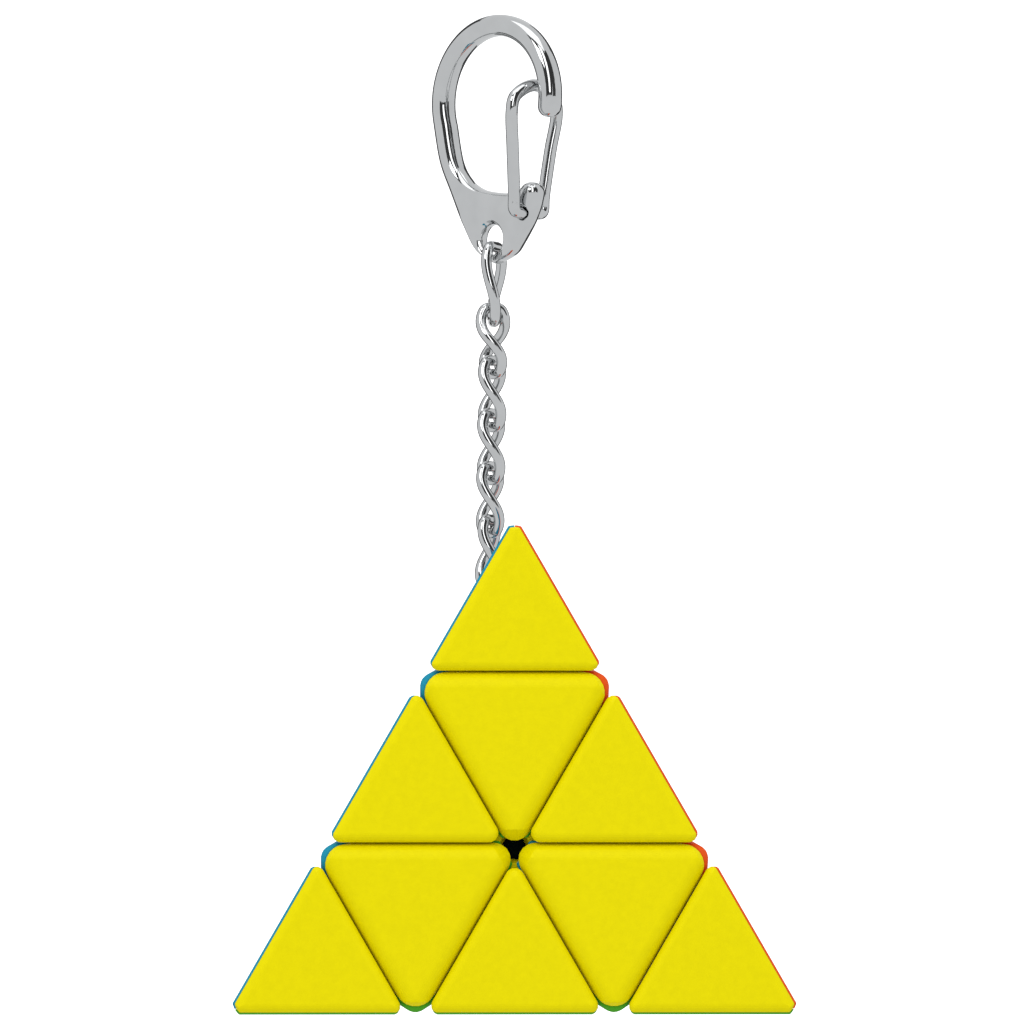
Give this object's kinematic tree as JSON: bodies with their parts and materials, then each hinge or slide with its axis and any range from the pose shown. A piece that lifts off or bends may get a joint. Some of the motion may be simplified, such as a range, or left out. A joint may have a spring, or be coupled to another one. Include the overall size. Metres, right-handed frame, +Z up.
{
  "type": "pyramid twisty puzzle on a keychain",
  "caption": "Four-sided pyramid twisty puzzle with turning corners and tips, hung by a twisted-link chain from a snap hook.",
  "frame": {"origin": "the hanging point: inside of the top of the snap hook bow", "axes": "+Z up along the hanging chain, the yellow face towards -Y, +X to the right as seen from the yellow face"},
  "size_m": [0.0568, 0.0465, 0.1019],
  "materials": {
    "plastic_yellow": "satin, fine grain",
    "plastic_blue": "satin, fine grain",
    "plastic_red": "satin, fine grain",
    "plastic_green": "satin, fine grain",
    "chrome": "bright plated",
    "steel": "plain"
  },
  "bodies": {
    "clasp": {"clasp_hook": "chrome"},
    "gate": {"clasp_gate": "chrome"},
    "link_1": {"chain_link_1": "chrome"},
    "link_2": {"chain_link_2": "chrome"},
    "link_3": {"chain_link_3": "chrome"},
    "link_4": {"chain_link_4": "chrome"},
    "link_5": {"chain_link_5": "chrome"},
    "link_6": {"chain_link_6": "chrome"},
    "tip_top": {"tip_top_red": "plastic_red", "tip_top_blue": "plastic_blue", "tip_top_yellow": "plastic_yellow", "eye_pin": "steel"},
    "corner_top": {"axial_top_cap_red": "plastic_red", "axial_top_cap_blue": "plastic_blue", "axial_top_cap_yellow": "plastic_yellow", "axial_top_body": "plastic_green"},
    "corner_left": {"axial_left_cap_green": "plastic_green", "axial_left_cap_blue": "plastic_blue", "axial_left_cap_yellow": "plastic_yellow", "axial_left_body": "plastic_green"},
    "corner_right": {"axial_right_cap_green": "plastic_green", "axial_right_cap_red": "plastic_red", "axial_right_cap_yellow": "plastic_yellow", "axial_right_body": "plastic_blue"},
    "corner_back": {"axial_back_cap_green": "plastic_green", "axial_back_cap_red": "plastic_red", "axial_back_cap_blue": "plastic_blue", "axial_back_body": "plastic_blue"},
    "core": {"core_ball": "plastic_blue", "screw_top": "steel", "screw_left": "steel", "screw_right": "steel", "screw_back": "steel", "spring_top": "steel", "spring_left": "steel", "spring_right": "steel", "spring_back": "steel"},
    "tip_left": {"tip_left_green": "plastic_green", "tip_left_blue": "plastic_blue", "tip_left_yellow": "plastic_yellow"},
    "tip_right": {"tip_right_green": "plastic_green", "tip_right_red": "plastic_red", "tip_right_yellow": "plastic_yellow"},
    "tip_back": {"tip_back_green": "plastic_green", "tip_back_red": "plastic_red", "tip_back_blue": "plastic_blue"},
    "edge_top_left": {"edge_top_left_blue": "plastic_blue", "edge_top_left_yellow": "plastic_yellow"},
    "edge_top_right": {"edge_top_right_red": "plastic_red", "edge_top_right_yellow": "plastic_yellow"},
    "edge_top_back": {"edge_top_back_red": "plastic_red", "edge_top_back_blue": "plastic_blue"},
    "edge_left_right": {"edge_left_right_green": "plastic_green", "edge_left_right_yellow": "plastic_yellow"},
    "edge_left_back": {"edge_left_back_green": "plastic_green", "edge_left_back_blue": "plastic_blue"},
    "edge_right_back": {"edge_right_back_green": "plastic_green", "edge_right_back_red": "plastic_red"}
  },
  "joints": [
    {"name": "gate_swing", "type": "hinge", "parent": "clasp", "child": "gate", "pos_m": [0.00319, -0.00319, -0.01826], "axis": [-0.7071, -0.7071, 0], "range_deg": [0, 28], "stiffness_Nm_per_rad": 0.05, "springref_deg": -17.19},
    {"name": "link_1_swing", "type": "hinge", "parent": "clasp", "child": "link_1", "pos_m": [-0.00027, 0.00009, -0.02145], "axis": [0.7071, 0.7071, 0], "range_deg": [-20, 20]},
    {"name": "link_2_swing", "type": "hinge", "parent": "link_1", "child": "link_2", "pos_m": [-0.00027, 0.00009, -0.02917], "axis": [0, -1, 0], "range_deg": [-20, 20]},
    {"name": "link_3_swing", "type": "hinge", "parent": "link_2", "child": "link_3", "pos_m": [-0.00046, 0.00006, -0.03314], "axis": [-0.7071, -0.7071, 0], "range_deg": [-20, 20]},
    {"name": "link_4_swing", "type": "hinge", "parent": "link_3", "child": "link_4", "pos_m": [-0.00046, 0.00006, -0.03994], "axis": [-0.7071, 0.7071, 0], "range_deg": [-20, 20]},
    {"name": "link_5_swing", "type": "hinge", "parent": "link_4", "child": "link_5", "pos_m": [-0.00065, 0.00002, -0.04397], "axis": [0.7071, 0.7071, 0], "range_deg": [-20, 20]},
    {"name": "link_6_swing", "type": "hinge", "parent": "link_5", "child": "link_6", "pos_m": [-0.00065, 0.00002, -0.05077], "axis": [0.7071, -0.7071, 0], "range_deg": [-20, 20]},
    {"name": "puzzle_swing", "type": "hinge", "parent": "link_6", "child": "tip_top", "pos_m": [-0.00075, 0.00001, -0.05507], "axis": [-0.7071, -0.7071, 0], "range_deg": [-20, 20]},
    {"name": "top_tip_turn", "type": "hinge", "parent": "tip_top", "child": "corner_top", "pos_m": [0.0017, 0.0026, -0.08277], "axis": [0, 0.3333, -0.9428], "continuous": true},
    {"name": "top_layer_turn", "type": "hinge", "parent": "corner_top", "child": "core", "pos_m": [0.0017, 0.0026, -0.08277], "axis": [0, 0.3333, -0.9428], "range_deg": [-240, 120]},
    {"name": "left_layer_turn", "type": "hinge", "parent": "core", "child": "corner_left", "pos_m": [0.0017, 0.0026, -0.08277], "axis": [-0.8165, -0.3333, -0.4714], "range_deg": [-240, 120]},
    {"name": "left_tip_turn", "type": "hinge", "parent": "corner_left", "child": "tip_left", "pos_m": [0.0017, 0.0026, -0.08277], "axis": [-0.8165, -0.3333, -0.4714], "continuous": true},
    {"name": "right_layer_turn", "type": "hinge", "parent": "core", "child": "corner_right", "pos_m": [0.0017, 0.0026, -0.08277], "axis": [0.8165, -0.3333, -0.4714], "range_deg": [-240, 120]},
    {"name": "right_tip_turn", "type": "hinge", "parent": "corner_right", "child": "tip_right", "pos_m": [0.0017, 0.0026, -0.08277], "axis": [0.8165, -0.3333, -0.4714], "continuous": true},
    {"name": "back_layer_turn", "type": "hinge", "parent": "core", "child": "corner_back", "pos_m": [0.0017, 0.0026, -0.08277], "axis": [0, 1, 0], "range_deg": [-240, 120]},
    {"name": "back_tip_turn", "type": "hinge", "parent": "corner_back", "child": "tip_back", "pos_m": [0.0017, 0.0026, -0.08277], "axis": [0, 1, 0], "continuous": true},
    {"name": "edge_top_left_turn", "type": "hinge", "parent": "corner_top", "child": "edge_top_left", "pos_m": [0.0017, 0.0026, -0.08277], "axis": [-0.8165, -0.3333, -0.4714], "range_deg": [-240, 120]},
    {"name": "edge_top_right_turn", "type": "hinge", "parent": "corner_top", "child": "edge_top_right", "pos_m": [0.0017, 0.0026, -0.08277], "axis": [0.8165, -0.3333, -0.4714], "range_deg": [-240, 120]},
    {"name": "edge_top_back_turn", "type": "hinge", "parent": "corner_top", "child": "edge_top_back", "pos_m": [0.0017, 0.0026, -0.08277], "axis": [0, 1, 0], "range_deg": [-240, 120]},
    {"name": "edge_left_right_turn", "type": "hinge", "parent": "corner_left", "child": "edge_left_right", "pos_m": [0.0017, 0.0026, -0.08277], "axis": [0.8165, -0.3333, -0.4714], "range_deg": [-240, 120]},
    {"name": "edge_right_back_turn", "type": "hinge", "parent": "corner_right", "child": "edge_right_back", "pos_m": [0.0017, 0.0026, -0.08277], "axis": [0, 1, 0], "range_deg": [-240, 120]},
    {"name": "edge_left_back_turn", "type": "hinge", "parent": "corner_back", "child": "edge_left_back", "pos_m": [0.0017, 0.0026, -0.08277], "axis": [-0.8165, -0.3333, -0.4714], "range_deg": [-240, 120]}
  ],
  "couplings": [
    {"joint": "edge_top_left_turn", "follows": "left_layer_turn", "ratio": 1},
    {"joint": "edge_top_right_turn", "follows": "right_layer_turn", "ratio": 1},
    {"joint": "edge_top_back_turn", "follows": "back_layer_turn", "ratio": 1},
    {"joint": "edge_left_right_turn", "follows": "right_layer_turn", "ratio": 1},
    {"joint": "edge_right_back_turn", "follows": "back_layer_turn", "ratio": 1},
    {"joint": "edge_left_back_turn", "follows": "left_layer_turn", "ratio": 1}
  ]
}
